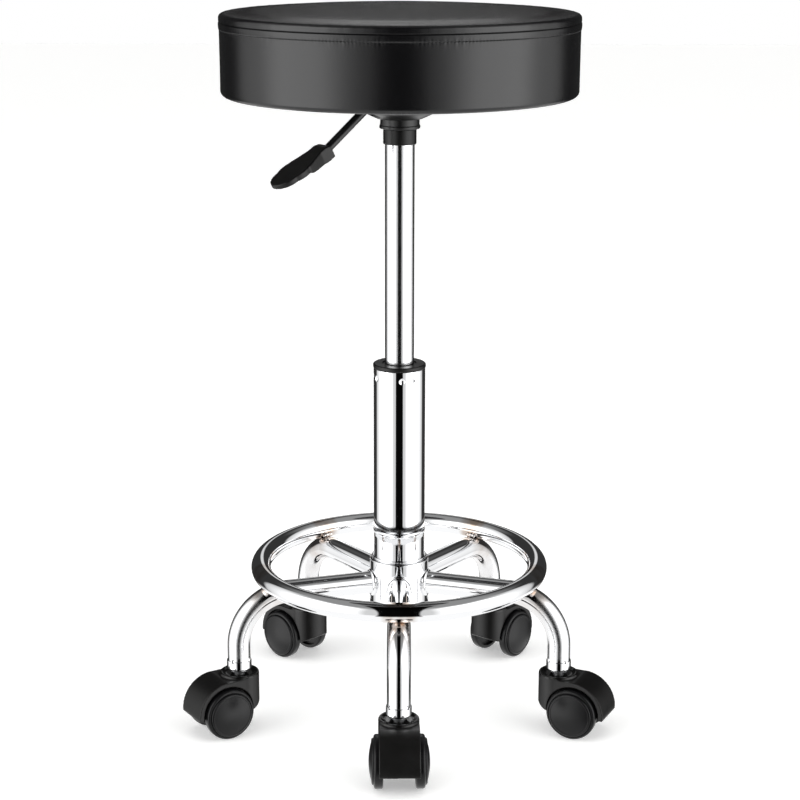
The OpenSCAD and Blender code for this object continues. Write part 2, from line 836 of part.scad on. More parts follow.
module wheel_1a() { wheel(1, -1); }
module wheel_1b() { wheel(1, 1); }
module wheel_2a() { wheel(2, -1); }
module wheel_2b() { wheel(2, 1); }
module wheel_3a() { wheel(3, -1); }
module wheel_3b() { wheel(3, 1); }
module wheel_4a() { wheel(4, -1); }
module wheel_4b() { wheel(4, 1); }
module wheel_5a() { wheel(5, -1); }
module wheel_5b() { wheel(5, 1); }

seat_top_panel();
seat_side_band();
seat_foam();
seat_board();
dust_cover();
tee_nuts();
plate_bolts();
plate_washers();
mount_plate();
column_socket();
lever_bracket();
lever_pin();
lever_rod();
lever_paddle();
gas_cylinder();
cylinder_collar();
rod_guide();
release_button();
piston_rod();
piston_head();
rubber_bumper();
top_race();
rod_clip();
outer_tube();
guide_bushing();
bottom_race();
bearing_balls();
socket_sleeve();
hub();
hub_welds();
foot_ring();
ring_welds();
leg_1();
leg_2();
leg_3();
leg_4();
leg_5();
leg_sockets();
caster_stems();
hood_1();
hood_2();
hood_3();
hood_4();
hood_5();
axle_1();
axle_2();
axle_3();
axle_4();
axle_5();
wheel_1a();
wheel_1b();
wheel_2a();
wheel_2b();
wheel_3a();
wheel_3b();
wheel_4a();
wheel_4b();
wheel_5a();
wheel_5b();
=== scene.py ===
"""The looks of the adjustable swivel stool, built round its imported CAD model. Metres, +Z up."""

import json
import math

import bpy
import numpy as np
from mathutils import Matrix, Vector, noise
from mathutils.bvhtree import BVHTree


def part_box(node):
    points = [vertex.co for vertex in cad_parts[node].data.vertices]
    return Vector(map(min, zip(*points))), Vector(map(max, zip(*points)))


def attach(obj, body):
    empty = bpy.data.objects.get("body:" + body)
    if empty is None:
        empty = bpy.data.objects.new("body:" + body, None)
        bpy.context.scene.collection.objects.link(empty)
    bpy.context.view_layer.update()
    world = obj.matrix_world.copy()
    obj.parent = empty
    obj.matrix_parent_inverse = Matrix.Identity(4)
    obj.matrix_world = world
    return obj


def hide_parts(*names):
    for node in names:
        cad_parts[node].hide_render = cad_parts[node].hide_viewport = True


MM = 0.001

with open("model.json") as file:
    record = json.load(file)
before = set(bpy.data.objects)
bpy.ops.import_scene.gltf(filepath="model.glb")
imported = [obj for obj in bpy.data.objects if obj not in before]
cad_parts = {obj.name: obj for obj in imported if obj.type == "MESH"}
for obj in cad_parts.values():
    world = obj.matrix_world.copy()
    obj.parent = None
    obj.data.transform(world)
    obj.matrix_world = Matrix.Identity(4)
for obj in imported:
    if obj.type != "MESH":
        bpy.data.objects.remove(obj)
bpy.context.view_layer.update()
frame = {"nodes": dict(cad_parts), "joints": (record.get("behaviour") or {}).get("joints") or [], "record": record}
nodes = frame["nodes"]
joints = {joint["name"]: joint for joint in frame["joints"]}

# ---------- places, from the frame ----------

column = Vector(joints["seat_swivel"]["pos_m"])
panel_low, panel_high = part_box("seat_top_panel")
band_low, band_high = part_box("seat_side_band")
seat_r = (panel_high.x - panel_low.x) / 2
seat_top = panel_high.z
seam_z = panel_low.z
seat_bottom = band_low.z
ring_low, ring_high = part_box("foot_ring")
ring_tube_r = (ring_high.z - ring_low.z) / 2
ring_r = (ring_high.x - ring_low.x) / 2 - ring_tube_r
ring_z = (ring_high.z + ring_low.z) / 2
leg_numbers = range(1, 6)
hood_dish_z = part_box("hood_1")[1].z - 2.1 * MM
stitch_z = seam_z - 6.3 * MM

# ---------- counts ----------

STITCH_COUNT = 316
STAPLE_COUNT = 48
PAD_FRAMES = 20

# ---------- mesh helpers ----------


def new_object(name, vertices, faces, material, smooth=True):
    """A mesh object from plain lists, linked into the scene."""
    mesh = bpy.data.meshes.new(name)
    mesh.from_pydata([tuple(v) for v in vertices], [], faces)
    mesh.validate()
    obj = bpy.data.objects.new(name, mesh)
    bpy.context.scene.collection.objects.link(obj)
    obj.data.materials.append(material)
    if smooth:
        mesh.shade_smooth()
    return obj


def fillet(corners, steps=6):
    """Rounds an outline's corners. Each corner is (radius from the axis, height, fillet radius)."""
    points = []
    for i, (x, y, size) in enumerate(corners):
        here = Vector((x, y))
        if size == 0 or i in (0, len(corners) - 1):
            points.append(here)
            continue
        before = Vector(corners[i - 1][:2]) - here
        after = Vector(corners[i + 1][:2]) - here
        half = before.angle(after) / 2
        reach = size / math.tan(half)
        start = here + before.normalized() * reach
        middle = here + (before.normalized() + after.normalized()).normalized() * (size / math.sin(half))
        arm = start - middle
        turn = (math.pi - 2 * half) * (1 if before.cross(after) < 0 else -1)
        for k in range(steps + 1):
            angle = turn * k / steps
            points.append(middle + Matrix.Rotation(angle, 2) @ arm)
    return points


def split_long(points, longest):
    """The same outline with its long stretches cut into shorter ones."""
    out = [points[0]]
    for a, b in zip(points, points[1:]):
        count = max(1, math.ceil((b - a).length / longest))
        out += [a.lerp(b, k / count) for k in range(1, count + 1)]
    return out


def lathe(name, outline, material, segments=128, centre=(0, 0), closed=False, shape=None):
    """Turns an outline of (radius, height) about a vertical axis. shape(angle, radius, height)
    may return a changed radius and height for each vertex."""
    vertices, faces, rows = [], [], []
    for radius, height in outline:
        if radius < 1e-7:
            rows.append([len(vertices)] * segments)
            vertices.append((centre[0], centre[1], height))
            continue
        rows.append(list(range(len(vertices), len(vertices) + segments)))
        for k in range(segments):
            angle = 2 * math.pi * k / segments
            r, z = shape(angle, radius, height) if shape else (radius, height)
            vertices.append((centre[0] + r * math.cos(angle), centre[1] + r * math.sin(angle), z))
    pairs = list(zip(rows, rows[1:]))
    if closed:
        pairs.append((rows[-1], rows[0]))
    for low, high in pairs:
        for k in range(segments):
            n = (k + 1) % segments
            corners = [low[k], low[n], high[n], high[k]]
            face = list(dict.fromkeys(corners))
            if len(face) > 2:
                faces.append(face)
    return new_object(name, vertices, faces, material)


def along(name, path, radius, material, sides=12):
    """A round bar along a list of points, closed at both ends."""
    curve = bpy.data.curves.new(name, "CURVE")
    curve.dimensions = "3D"
    curve.bevel_depth = radius
    curve.bevel_resolution = max(1, sides // 4)
    curve.use_fill_caps = True
    spline = curve.splines.new("POLY")
    spline.points.add(len(path) - 1)
    for point, place in zip(spline.points, path):
        point.co = (*place, 1)
    obj = bpy.data.objects.new(name, curve)
    bpy.context.scene.collection.objects.link(obj)
    curve.materials.append(material)
    return obj


def to_mesh(obj):
    """Applies an object's modifiers and gives it its own plain mesh."""
    graph = bpy.context.evaluated_depsgraph_get()
    mesh = bpy.data.meshes.new_from_object(obj.evaluated_get(graph))
    obj.modifiers.clear()
    obj.data = mesh
    return obj


# ---------- material helpers ----------


def start_material(name):
    """A new node material: (material, add, shader). add(kind, inputs, settings) makes one node."""
    material = bpy.data.materials.new(name)
    material.use_nodes = True
    tree = material.node_tree
    shader = tree.nodes["Principled BSDF"]
    return material, node_adder(tree), shader


def node_adder(tree):
    def add(kind, inputs=None, **settings):
        node = tree.nodes.new("ShaderNode" + kind)
        for key, value in settings.items():
            setattr(node, key, value)
        for key, value in (inputs or {}).items():
            socket = node.inputs[key]
            if isinstance(value, bpy.types.NodeSocket):
                tree.links.new(value, socket)
            else:
                socket.default_value = value
        return node

    add.link = lambda output, socket: tree.links.new(output, socket)
    return add


def math_node(add, operation, *values):
    return add("Math", dict(enumerate(values)), operation=operation).outputs[0]


def remap(add, value, low, high, to_low, to_high, smooth=False):
    node = add("MapRange", {0: value, 1: low, 2: high, 3: to_low, 4: to_high})
    if smooth:
        node.interpolation_type = "SMOOTHSTEP"
    return node.outputs[0]


def noise_value(add, place, scale, detail=3.0, roughness=0.5):
    node = add("TexNoise", {"Vector": place, "Scale": scale, "Detail": detail, "Roughness": roughness})
    return node.outputs["Fac"]


def stretched(add, place, scale):
    return add("Mapping", {"Vector": place, "Scale": scale}).outputs[0]


def colour_mix(add, factor, first, second):
    node = add("Mix", {0: factor}, data_type="RGBA")
    for socket, value in ((node.inputs[6], first), (node.inputs[7], second)):
        if isinstance(value, bpy.types.NodeSocket):
            add.link(value, socket)
        else:
            socket.default_value = (*value, 1)
    return node.outputs[2]


def bump(add, shader, height, distance, strength=1.0, under=None):
    inputs = {"Height": height, "Distance": distance, "Strength": strength}
    if under is not None:
        inputs["Normal"] = under
    node = add("Bump", inputs)
    add.link(node.outputs[0], shader.inputs["Normal"])
    return node.outputs[0]


# ---------- materials ----------


def make_leather():
    """Black PU leather: fine pebble grain with creases between the pebbles, slight mottling."""
    material, add, shader = start_material("black_leather")
    place = add("TexCoord").outputs["Object"]
    grain = add("TexVoronoi", {"Vector": place, "Scale": 700.0, "Randomness": 0.9},
                feature="DISTANCE_TO_EDGE")
    pebble = remap(add, grain.outputs["Distance"], 0.0, 0.28, 0.0, 1.0, smooth=True)
    fine = noise_value(add, place, 2600.0, 2.0)
    broad = noise_value(add, place, 14.0, 3.0)
    coarse = math_node(add, "MULTIPLY", pebble, 0.75)
    height = math_node(add, "ADD", coarse, math_node(add, "MULTIPLY", fine, 0.25))
    bump(add, shader, height, 0.000035)
    colour = colour_mix(add, broad, (0.0025, 0.0025, 0.003), (0.0045, 0.0044, 0.0048))
    add.link(colour, shader.inputs["Base Color"])
    worn = remap(add, broad, 0.3, 0.7, 0.19, 0.23)
    rough = math_node(add, "ADD", worn, math_node(add, "MULTIPLY", pebble, -0.05))
    add.link(rough, shader.inputs["Roughness"])
    return material


def make_thread():
    material, add, shader = start_material("thread")
    place = add("TexCoord").outputs["Object"]
    twist = noise_value(add, place, 3000.0, 2.0)
    add.link(colour_mix(add, twist, (0.004, 0.004, 0.004), (0.02, 0.02, 0.02)), shader.inputs["Base Color"])
    bump(add, shader, twist, 0.0001)
    shader.inputs["Roughness"].default_value = 0.5
    return material


def make_chrome(name="chrome", haze=0.0, tint_places=None, dull_beyond=None):
    """Polished chrome plate: nearly clean mirror, faint waviness, slight haze and wiped streaks.
    Beyond the radius dull_beyond, where a tube is bent, the polish is duller."""
    material, add, shader = start_material(name)
    place = add("TexCoord").outputs["Object"]
    streaks = noise_value(add, stretched(add, place, (1.0, 1.0, 0.12)), 160.0, 4.0)
    cloud = noise_value(add, place, 22.0, 3.0)
    wiped = math_node(add, "MULTIPLY", streaks, cloud)
    rough = remap(add, wiped, 0.1, 0.45, 0.025 + haze, 0.075 + haze)
    if dull_beyond is not None:
        radius = column_distance(add, place)
        dull = remap(add, radius, dull_beyond, dull_beyond + 12 * MM, 0.0, 1.0, smooth=True)
        foot = remap(add, add("SeparateXYZ", {"Vector": place}).outputs[2], 0.070, 0.076, 0.0, 1.0)
        rough = add("Mix", {0: math_node(add, "MULTIPLY", dull, foot), 2: rough, 3: 0.24}).outputs[0]
    add.link(rough, shader.inputs["Roughness"])
    bump(add, shader, noise_value(add, place, 45.0, 1.0), 0.00003, 0.6)
    clean = colour_mix(add, cloud, (0.90, 0.905, 0.915), (0.86, 0.865, 0.875))
    colour = tint_places(add, place, clean) if tint_places else clean
    add.link(colour, shader.inputs["Base Color"])
    shader.inputs["Metallic"].default_value = 1.0
    return material


def column_distance(add, place):
    """Distance of a place from the column's axis."""
    level = add("VectorMath", {0: place, 1: (1, 1, 0)}, operation="MULTIPLY").outputs[0]
    axis = (column.x, column.y, 0)
    return add("VectorMath", {0: level, 1: axis}, operation="DISTANCE").outputs["Value"]


def heat_tint(add, place, clean):
    """Straw and brown heat colours where the legs meet the foot ring."""
    parts = add("SeparateXYZ", {"Vector": place})
    y = math_node(add, "SUBTRACT", parts.outputs[1], column.y)
    radius = column_distance(add, place)
    off = math_node(add, "ABSOLUTE", math_node(add, "SUBTRACT", radius, ring_r))
    band = remap(add, off, 0.006, 0.026, 1.0, 0.0, smooth=True)
    turn = math_node(add, "ARCTAN2", parts.outputs[0], math_node(add, "MULTIPLY", y, -1.0))
    legs_round = math_node(add, "COSINE", math_node(add, "MULTIPLY", turn, float(len(leg_numbers))))
    patch = math_node(add, "MULTIPLY", band, remap(add, legs_round, 0.80, 0.96, 0.0, 1.0, smooth=True))
    cloud = remap(add, noise_value(add, place, 70.0, 3.0), 0.35, 0.65, 0.3, 1.0)
    spread = math_node(add, "MULTIPLY", patch, cloud)
    high = remap(add, parts.outputs[2], 0.118, 0.142, 0.25, 1.0)
    amount = math_node(add, "MULTIPLY", math_node(add, "MULTIPLY", spread, high), 0.75)
    return colour_mix(add, amount, clean, (0.36, 0.24, 0.15))


def make_moulded(name, colour, rough, grain=1800.0, depth=0.000012, specular=0.32, polished_above=None):
    """Moulded plastic: fine eroded texture, slight blotches, paler rubbed edges. Above the height
    polished_above the mould was polished, so the surface is glossy there."""
    material, add, shader = start_material(name)
    place = add("TexCoord").outputs["Object"]
    fine = noise_value(add, place, grain, 3.0, 0.6)
    broad = noise_value(add, place, 60.0, 3.0)
    edge = remap(add, add("NewGeometry").outputs["Pointiness"], 0.52, 0.60, 0.0, 0.35, smooth=True)
    pale = tuple(c * 2.0 + 0.003 for c in colour)
    dark = tuple(c * 0.75 for c in colour)
    body = colour_mix(add, broad, dark, colour)
    add.link(colour_mix(add, edge, body, pale), shader.inputs["Base Color"])
    roughness = remap(add, broad, 0.3, 0.7, rough - 0.03, rough + 0.04)
    if polished_above is not None:
        height = add("SeparateXYZ", {"Vector": place}).outputs[2]
        polished = remap(add, height, polished_above, polished_above + 0.3 * MM, 0.0, 1.0)
        roughness = add("Mix", {0: polished, 2: roughness, 3: 0.12}).outputs[0]
    add.link(roughness, shader.inputs["Roughness"])
    bump(add, shader, fine, depth)
    shader.inputs["Specular IOR Level"].default_value = specular
    return material


def make_painted_steel():
    """Black powder coat with orange peel."""
    material, add, shader = start_material("black_paint")
    place = add("TexCoord").outputs["Object"]
    peel = noise_value(add, place, 420.0, 2.0)
    bump(add, shader, peel, 0.00006)
    broad = noise_value(add, place, 50.0, 3.0)
    colour = colour_mix(add, broad, (0.003, 0.003, 0.0034), (0.006, 0.006, 0.0064))
    add.link(colour, shader.inputs["Base Color"])
    add.link(remap(add, broad, 0.3, 0.7, 0.27, 0.36), shader.inputs["Roughness"])
    return material


def make_zinc_steel():
    """Zinc-plated steel: spangled grey with fine turning lines."""
    material, add, shader = start_material("zinc_plate")
    place = add("TexCoord").outputs["Object"]
    lines = noise_value(add, stretched(add, place, (1.0, 1.0, 14.0)), 260.0, 3.0)
    cells = add("TexVoronoi", {"Vector": place, "Scale": 350.0}).outputs["Color"]
    tone = add("SeparateColor", {"Color": cells}).outputs[0]
    add.link(colour_mix(add, tone, (0.48, 0.49, 0.50), (0.62, 0.63, 0.64)), shader.inputs["Base Color"])
    add.link(remap(add, lines, 0.3, 0.7, 0.28, 0.42), shader.inputs["Roughness"])
    bump(add, shader, lines, 0.00002)
    shader.inputs["Metallic"].default_value = 1.0
    return material


def make_plywood():
    """Birch plywood: veneer lines across the thickness and long grain on the faces."""
    material, add, shader = start_material("plywood")
    place = add("TexCoord").outputs["Object"]
    grain = noise_value(add, stretched(add, place, (1.0, 9.0, 1.0)), 35.0, 6.0)
    wave = add("TexWave", {"Vector": place, "Scale": 105.0, "Distortion": 0.4}, bands_direction="Z")
    plies = math_node(add, "MULTIPLY", wave.outputs["Fac"], 0.5)
    face = colour_mix(add, grain, (0.50, 0.33, 0.18), (0.70, 0.52, 0.32))
    add.link(colour_mix(add, plies, face, (0.34, 0.20, 0.10)), shader.inputs["Base Color"])
    bump(add, shader, grain, 0.0001)
    shader.inputs["Roughness"].default_value = 0.75
    return material


def make_foam():
    """Open-cell foam: small round cells."""
    material, add, shader = start_material("foam")
    place = add("TexCoord").outputs["Object"]
    cells = add("TexVoronoi", {"Vector": place, "Scale": 1100.0}).outputs["Distance"]
    add.link(colour_mix(add, cells, (0.72, 0.63, 0.42), (0.86, 0.80, 0.62)), shader.inputs["Base Color"])
    bump(add, shader, cells, 0.0004)
    shader.inputs["Roughness"].default_value = 0.95
    return material


def make_lining_cloth():
    """Black spunbond lining: pressed fibres with a fine dot pattern."""
    material, add, shader = start_material("lining")
    place = add("TexCoord").outputs["Object"]
    fibre = noise_value(add, stretched(add, place, (1.0, 3.0, 1.0)), 700.0, 5.0, 0.7)
    dots = add("TexVoronoi", {"Vector": place, "Scale": 650.0, "Randomness": 0.15}).outputs["Distance"]
    height = math_node(add, "ADD", fibre, remap(add, dots, 0.0, 0.5, 0.0, 0.6))
    add.link(colour_mix(add, fibre, (0.008, 0.008, 0.009), (0.03, 0.03, 0.032)), shader.inputs["Base Color"])
    bump(add, shader, height, 0.00015)
    shader.inputs["Roughness"].default_value = 0.85
    shader.inputs["Sheen Weight"].default_value = 0.3
    return material


def make_rubber():
    material, add, shader = start_material("rubber")
    place = add("TexCoord").outputs["Object"]
    fine = noise_value(add, place, 900.0, 3.0)
    add.link(colour_mix(add, fine, (0.012, 0.012, 0.012), (0.03, 0.03, 0.03)), shader.inputs["Base Color"])
    bump(add, shader, fine, 0.00005)
    shader.inputs["Roughness"].default_value = 0.7
    return material


leather = make_leather()
thread = make_thread()
chrome = make_chrome()
tinted_chrome = make_chrome("chrome_with_heat_tint", tint_places=heat_tint)
leg_chrome = make_chrome("leg_chrome", tint_places=heat_tint, dull_beyond=ring_r)
satin_chrome = make_chrome("hard_chrome", haze=0.11)
black_plastic = make_moulded("black_plastic", (0.0045, 0.0042, 0.004), 0.34)
hood_plastic = make_moulded("hood_plastic", (0.0045, 0.0042, 0.004), 0.34, polished_above=hood_dish_z)
grey_plastic = make_moulded("dark_plastic", (0.02, 0.02, 0.021), 0.5)
wheel_plastic = make_moulded("wheel_plastic", (0.0045, 0.0045, 0.005), 0.3, depth=0.000016, specular=0.25)
painted = make_painted_steel()
zinc = make_zinc_steel()
plywood = make_plywood()
foam = make_foam()
lining = make_lining_cloth()
rubber = make_rubber()

SLOT_MATERIALS = {
    "vinyl": leather, "foam": foam, "plywood": plywood, "lining": lining, "zinc_steel": zinc,
    "black_steel": painted, "black_plastic": black_plastic, "dark_plastic": grey_plastic,
    "wheel_plastic": wheel_plastic, "rubber": rubber, "chrome": chrome,
}
NODE_MATERIALS = {"gas_cylinder": satin_chrome, "foot_ring": tinted_chrome, "ring_welds": tinted_chrome}
NODE_MATERIALS.update({f"leg_{k}": tinted_chrome if k == 1 else leg_chrome for k in leg_numbers})
NODE_MATERIALS.update({f"hood_{k}": hood_plastic for k in leg_numbers})


def finish_cad_nodes():
    """Gives every CAD node its material."""
    for part in frame["record"]["subparts"]:
        obj = nodes[part["node"]]
        obj.data.materials.clear()
        obj.data.materials.append(NODE_MATERIALS.get(part["node"], SLOT_MATERIALS[part["material_slot"]]))


def round_moulded_parts():
    """Moulded parts have no sharp edges: their surface is remeshed finely and smoothed."""
    parts = {f"hood_{k}": (0.55 * MM, 7) for k in leg_numbers}
    parts["lever_paddle"] = (0.6 * MM, 10)
    for name, (voxel, rounds) in parts.items():
        remesh = nodes[name].modifiers.new("remesh", "REMESH")
        remesh.mode = "VOXEL"
        remesh.voxel_size = voxel
        remesh.use_smooth_shade = True
        smooth = nodes[name].modifiers.new("smooth", "SMOOTH")
        smooth.factor = 0.5
        smooth.iterations = rounds


# ---------- studio ----------


def make_camera():
    """Stands in front of the stool at eye height of a table-top shot, tilted down."""
    data = bpy.data.cameras.new("camera")
    data.angle = math.radians(22.345)
    camera = bpy.data.objects.new("camera", data)
    camera.location = (0.0006, column.y - 1.90, 0.8174)
    camera.rotation_euler = (math.radians(90 - 14.693), 0, 0)
    camera.rotation_euler.rotate_axis("Z", math.radians(0.105))
    bpy.context.scene.collection.objects.link(camera)
    bpy.context.scene.camera = camera


def make_world():
    """White for the camera. Reflections see two soft boxes, left and right of a dark front strip,
    a dark back, and a white floor."""
    world = bpy.data.worlds.new("studio")
    bpy.context.scene.world = world
    world.use_nodes = True
    tree = world.node_tree
    tree.nodes.clear()
    add = node_adder(tree)
    direction = add("TexCoord").outputs["Generated"]
    parts = add("SeparateXYZ", {"Vector": direction})
    x, y, z = parts.outputs
    front = math_node(add, "MULTIPLY", y, -1.0)
    turn = math_node(add, "ABSOLUTE", math_node(add, "ARCTAN2", x, front))
    degrees = math_node(add, "MULTIPLY", turn, 1 / math.pi)
    ramp = add("ValToRGB", {"Fac": degrees})
    stops = [(0, 0.23), (25, 0.24), (32, 0.4), (50, 1.0), (82, 1.0), (96, 0.42), (119, 0.22),
             (124, 0.012), (180, 0.012)]
    elements = ramp.color_ramp.elements
    while len(elements) < len(stops):
        elements.new(0.5)
    for element, (angle, level) in zip(elements, stops):
        element.position = angle / 180
        element.color = (level, level, level, 1)
    boxes = math_node(add, "MULTIPLY", ramp.outputs[0], 3.0)
    overhead = remap(add, z, 0.55, 0.85, 0.0, 1.0, smooth=True)
    from_zenith, full, faded = math.radians(73), math.radians(3.5), math.radians(7)
    toward = Vector((0, math.sin(from_zenith), math.cos(from_zenith)))
    dot = add("VectorMath", {0: direction, 1: toward}, operation="DOT_PRODUCT")
    behind_patch = remap(add, dot.outputs["Value"], math.cos(faded), math.cos(full), 0.0, 0.7, smooth=True)
    around = math_node(add, "ADD", boxes, behind_patch)
    upper = add("Mix", {0: overhead, 2: around, 3: 0.3}).outputs[0]
    below = remap(add, z, -0.5, -0.38, 1.0, 0.0, smooth=True)
    whole = add("Mix", {0: below, 2: upper, 3: 1.1}).outputs[0]
    strip = remap(add, math_node(add, "ABSOLUTE", x), 0.25, 0.28, 0.0, 1.0)
    behind = remap(add, y, -0.12, 0.02, 0.0, 1.0)
    lower = remap(add, z, -0.62, -0.52, 1.0, 0.0, smooth=True)
    outside = math_node(add, "MAXIMUM", strip, behind)
    open_sky = math_node(add, "MAXIMUM", outside, math_node(add, "MAXIMUM", lower, 0.004))
    seen = math_node(add, "MULTIPLY", whole, open_sky)
    dark = add("Background", {"Color": seen, "Strength": 1.0})
    white = add("Background", {"Color": (1, 1, 1, 1), "Strength": 1.0})
    camera_ray = add("LightPath").outputs["Is Camera Ray"]
    mixed = add("MixShader", {0: camera_ray, 1: dark.outputs[0], 2: white.outputs[0]})
    output = add("OutputWorld")
    add.link(mixed.outputs[0], output.inputs["Surface"])


def make_floor():
    """A plain pale floor that the chrome doesn't mirror; the world gives its reflection."""
    half = 8
    corners = [(-half, -half, 0), (half, -half, 0), (half, half, 0), (-half, half, 0)]
    floor = new_object("floor", corners, [(0, 1, 2, 3)], make_floor_paint())
    floor.visible_glossy = False


def make_floor_paint():
    material, add, shader = start_material("floor_paint")
    place = add("TexCoord").outputs["Object"]
    cloud = noise_value(add, place, 3.0, 2.0)
    add.link(colour_mix(add, cloud, (0.90, 0.90, 0.89), (0.92, 0.92, 0.91)), shader.inputs["Base Color"])
    shader.inputs["Roughness"].default_value = 0.9
    shader.inputs["Specular IOR Level"].default_value = 0.0
    shader.inputs["Emission Color"].default_value = (1, 1, 1, 1)
    shader.inputs["Emission Strength"].default_value = 0.37
    return material


def make_light():
    """Wide soft light from above, for the floor; reflections don't show it."""
    data = bpy.data.lights.new("top_light", "AREA")
    data.shape = "DISK"
    data.size = 3.5
    data.energy = 40
    light = bpy.data.objects.new("top_light", data)
    light.location = (0, -0.4, 3.0)
    light.visible_glossy = False
    bpy.context.scene.collection.objects.link(light)


# ---------- seat ----------


def simulate_pad():
    """Blows up a copy of the pad by cloth simulation and returns a tree of its surface."""
    inset = 2 * MM
    outline = fillet([(0, seat_bottom + 14 * MM, 0), (seat_r - inset, seat_bottom + 14 * MM, 2 * MM),
                      (seat_r - inset, seat_top, 8 * MM), (0, seat_top, 0)])
    pad = lathe("pad_start", split_long(outline, 8 * MM), leather, 96, column)
    remesh = pad.modifiers.new("remesh", "REMESH")
    remesh.mode = "VOXEL"
    remesh.voxel_size = 5 * MM
    to_mesh(pad)
    held = pad.vertex_groups.new(name="held")
    for v in pad.data.vertices:
        edge = math.hypot(v.co.x - column.x, v.co.y - column.y) > seat_r - 9 * MM
        if v.co.z < seam_z - 3 * MM or edge:
            held.add([v.index], 1.0, "REPLACE")
    cloth = pad.modifiers.new("cloth", "CLOTH")
    cloth.settings.use_pressure = True
    cloth.settings.uniform_pressure_force = 4.0
    cloth.settings.effector_weights.gravity = 0.0
    cloth.settings.vertex_group_mass = "held"
    cloth.settings.quality = 5
    for number in range(1, PAD_FRAMES + 1):
        bpy.context.scene.frame_set(number)
    graph = bpy.context.evaluated_depsgraph_get()
    mesh = pad.evaluated_get(graph).to_mesh()
    places = [v.co.copy() for v in mesh.vertices]
    tree = BVHTree.FromPolygons(places, [p.vertices[:] for p in mesh.polygons])
    bpy.data.objects.remove(pad)
    bpy.context.scene.frame_set(1)
    return tree


def crown(tree, x, y):
    """How far the blown-up pad rises above the flat top at a place, in metres."""
    hit = tree.ray_cast(Vector((x, y, seat_top + 0.1)), Vector((0, 0, -1)))[0]
    most = 2.2 * MM
    return most * math.tanh((hit.z - seat_top) / most) if hit else 0.0


def make_seat_top():
    """Top panel: crowned in the middle, rounded edge, drawn in along the seam."""
    lift = (lambda x, y: crown(pad_tree, x, y)) if pad_tree else (lambda x, y: 2.5 * MM)
    tuck = seam_z - 0.6 * MM
    outline = fillet([
        (0, seam_z - 6 * MM, 0), (seat_r - 6 * MM, seam_z - 6 * MM, 0), (seat_r - 1.6 * MM, tuck, 0.4 * MM),
        (seat_r - 0.2 * MM, seam_z + 1.2 * MM, 1.0 * MM), (seat_r - 0.3 * MM, seat_top, 4.2 * MM),
        (0, seat_top, 0)])
    outline = split_long(outline, 2.5 * MM)

    def shape(angle, r, z):
        x = column.x + r * math.cos(angle)
        y = column.y + r * math.sin(angle)
        inner = min(1.0, max(0.0, (seat_r - 3 * MM - r) / (30 * MM)))
        inner = inner * inner * (3 - 2 * inner)
        share = max(0.0, (z - seam_z) / (seat_top - seam_z))
        top = z > seam_z + 4 * MM
        rise = (inner * lift(x, y) if top else 0.0) - 0.8 * MM * (1 - inner) * share
        edge = math.exp(-(((seat_r - r) - 4 * MM) / (5 * MM)) ** 2) if z > tuck else 0.0
        pucker = noise.noise(Vector((math.cos(angle) * 26, math.sin(angle) * 26, 1.0)))
        ripple = 0.22 * MM * pucker * edge
        return r + ripple, z + rise + ripple * 0.6

    top = lathe("seat_top", outline, leather, 384, column, shape=shape)
    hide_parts("seat_top_panel", "seat_foam")
    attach(top, "seat")


def make_seat_band():
    """Side band: folded seam on top, topstitched, rounded under the board and gathered there."""
    outline = fillet([
        (seat_r - 5 * MM, seam_z - 5 * MM, 0), (seat_r - 2.6 * MM, seam_z - 1.0 * MM, 0.4 * MM),
        (seat_r - 1.2 * MM, seam_z + 0.2 * MM, 0.6 * MM), (seat_r, seam_z - 0.3 * MM, 0.8 * MM),
        (seat_r + 0.1 * MM, seam_z - 3 * MM, 2 * MM), (seat_r - 0.15 * MM, stitch_z + 0.9 * MM, 0.5 * MM),
        (seat_r - 0.85 * MM, stitch_z, 0.3 * MM), (seat_r - 0.7 * MM, stitch_z - 1.0 * MM, 0.5 * MM),
        (seat_r - 1.0 * MM, seat_bottom, 5 * MM),
        (seat_r - 12 * MM, seat_bottom + 0.1 * MM, 0.5 * MM),
        (seat_r - 15.8 * MM, seat_bottom + 0.2 * MM, 0.5 * MM),
        (seat_r - 15.8 * MM, seat_bottom + 1.9 * MM, 0.3 * MM), (seat_r - 8 * MM, seat_bottom + 1.9 * MM, 0),
        (seat_r - 5 * MM, seat_bottom + 8 * MM, 1 * MM)])
    outline = split_long(outline, 2.5 * MM)

    def shape(angle, r, z):
        turn = Vector((math.cos(angle), math.sin(angle), 0))
        side = 1.0 if r > seat_r - 4 * MM else 0.0
        slack = noise.noise(turn * 3.2 + Vector((0, 0, z * 20))) * 0.25 * MM * side
        near = math.exp(-((z - stitch_z) / (3.5 * MM)) ** 2) * side
        tight = math.exp(-((z - stitch_z) / (1.6 * MM)) ** 2) * side
        pucker = noise.noise(turn * 48 + Vector((0, 0, 5))) * 0.16 * MM * near
        pucker -= 0.09 * MM * tight * (1 + math.cos(angle * STITCH_COUNT))
        off = (angle - math.pi / 2) * seat_r
        join = math.exp(-(off / (1.3 * MM)) ** 2) - 0.35 * math.exp(-(off / (5 * MM)) ** 2)
        folded = min(1.0, max(0.0, (seat_r - 6 * MM - r) / (6 * MM)))
        under = folded if z < seat_bottom + 1 * MM else 0.0
        pleat = (0.35 + 0.3 * math.sin(angle * 84 + 3 * noise.noise(turn * 6))) * MM * under
        return r + slack + pucker - 0.7 * MM * join * side, z + pleat

    band = lathe("seat_band", outline, leather, 4 * STITCH_COUNT, column, closed=True, shape=shape)
    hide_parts("seat_side_band")
    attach(band, "seat")


